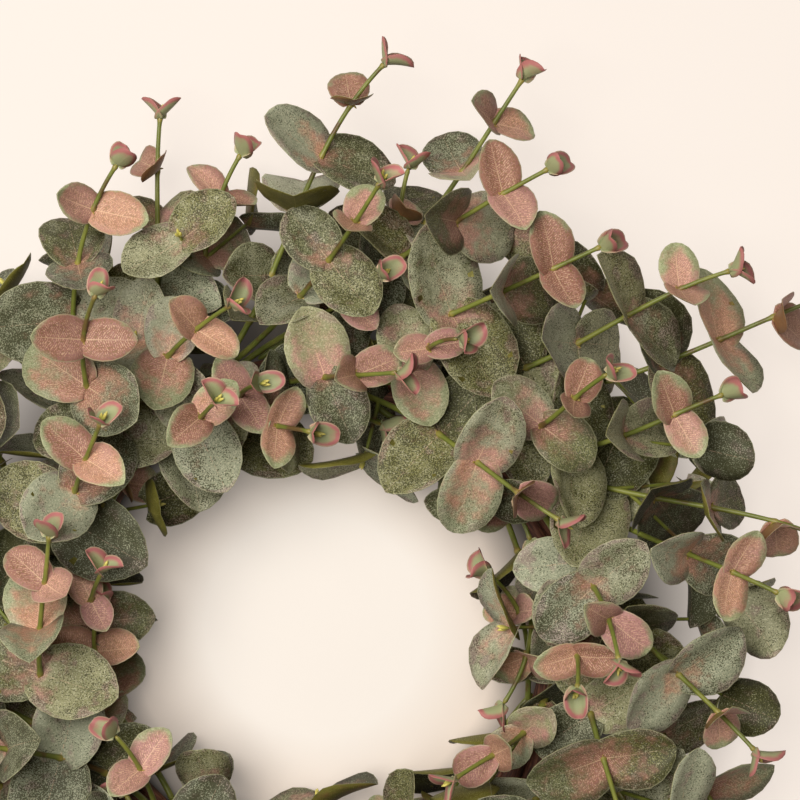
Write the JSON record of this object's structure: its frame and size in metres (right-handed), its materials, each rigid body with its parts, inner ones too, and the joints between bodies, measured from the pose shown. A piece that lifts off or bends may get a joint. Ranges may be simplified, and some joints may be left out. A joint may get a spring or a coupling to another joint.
{
  "type": "eucalyptus wreath",
  "caption": "Round artificial eucalyptus wreath: a twisted vine ring that carries leafy sprays of round sage and pink leaves, with an open middle.",
  "frame": {"origin": "under the middle of the whole wreath's box, on the surface that it lies on", "axes": "+Z up, out of the wreath's face; the picture's up is +Y and its right is +X"},
  "size_m": [0.5718, 0.6084, 0.1378],
  "materials": {
    "leaf": "matte",
    "vine": "rough bark"
  },
  "bodies": {
    "root": {"spray_01": "leaf", "spray_02": "leaf", "spray_03": "leaf", "spray_04": "leaf", "spray_05": "leaf", "spray_06": "leaf", "spray_07": "leaf", "spray_08": "leaf", "spray_09": "leaf", "spray_10": "leaf", "spray_11": "leaf", "spray_12": "leaf", "spray_13": "leaf", "spray_14": "leaf", "spray_15": "leaf", "spray_16": "leaf", "spray_17": "leaf", "spray_18": "leaf", "spray_19": "leaf", "spray_20": "leaf", "spray_21": "leaf", "spray_22": "leaf", "spray_23": "leaf", "spray_24": "leaf", "spray_25": "leaf", "spray_26": "leaf", "spray_27": "leaf", "spray_28": "leaf", "spray_29": "leaf", "spray_30": "leaf", "spray_31": "leaf", "spray_32": "leaf", "spray_33": "leaf", "spray_34": "leaf", "spray_35": "leaf", "spray_36": "leaf", "spray_37": "leaf", "spray_38": "leaf", "spray_39": "leaf", "spray_40": "leaf", "spray_41": "leaf", "spray_42": "leaf", "spray_43": "leaf", "spray_44": "leaf", "spray_45": "leaf", "spray_46": "leaf", "spray_47": "leaf", "spray_48": "leaf", "spray_49": "leaf", "spray_50": "leaf", "spray_51": "leaf", "spray_52": "leaf", "spray_53": "leaf", "spray_54": "leaf", "spray_55": "leaf", "spray_56": "leaf", "spray_57": "leaf", "spray_58": "leaf", "vine_ring": "vine"}
  },
  "joints": []
}
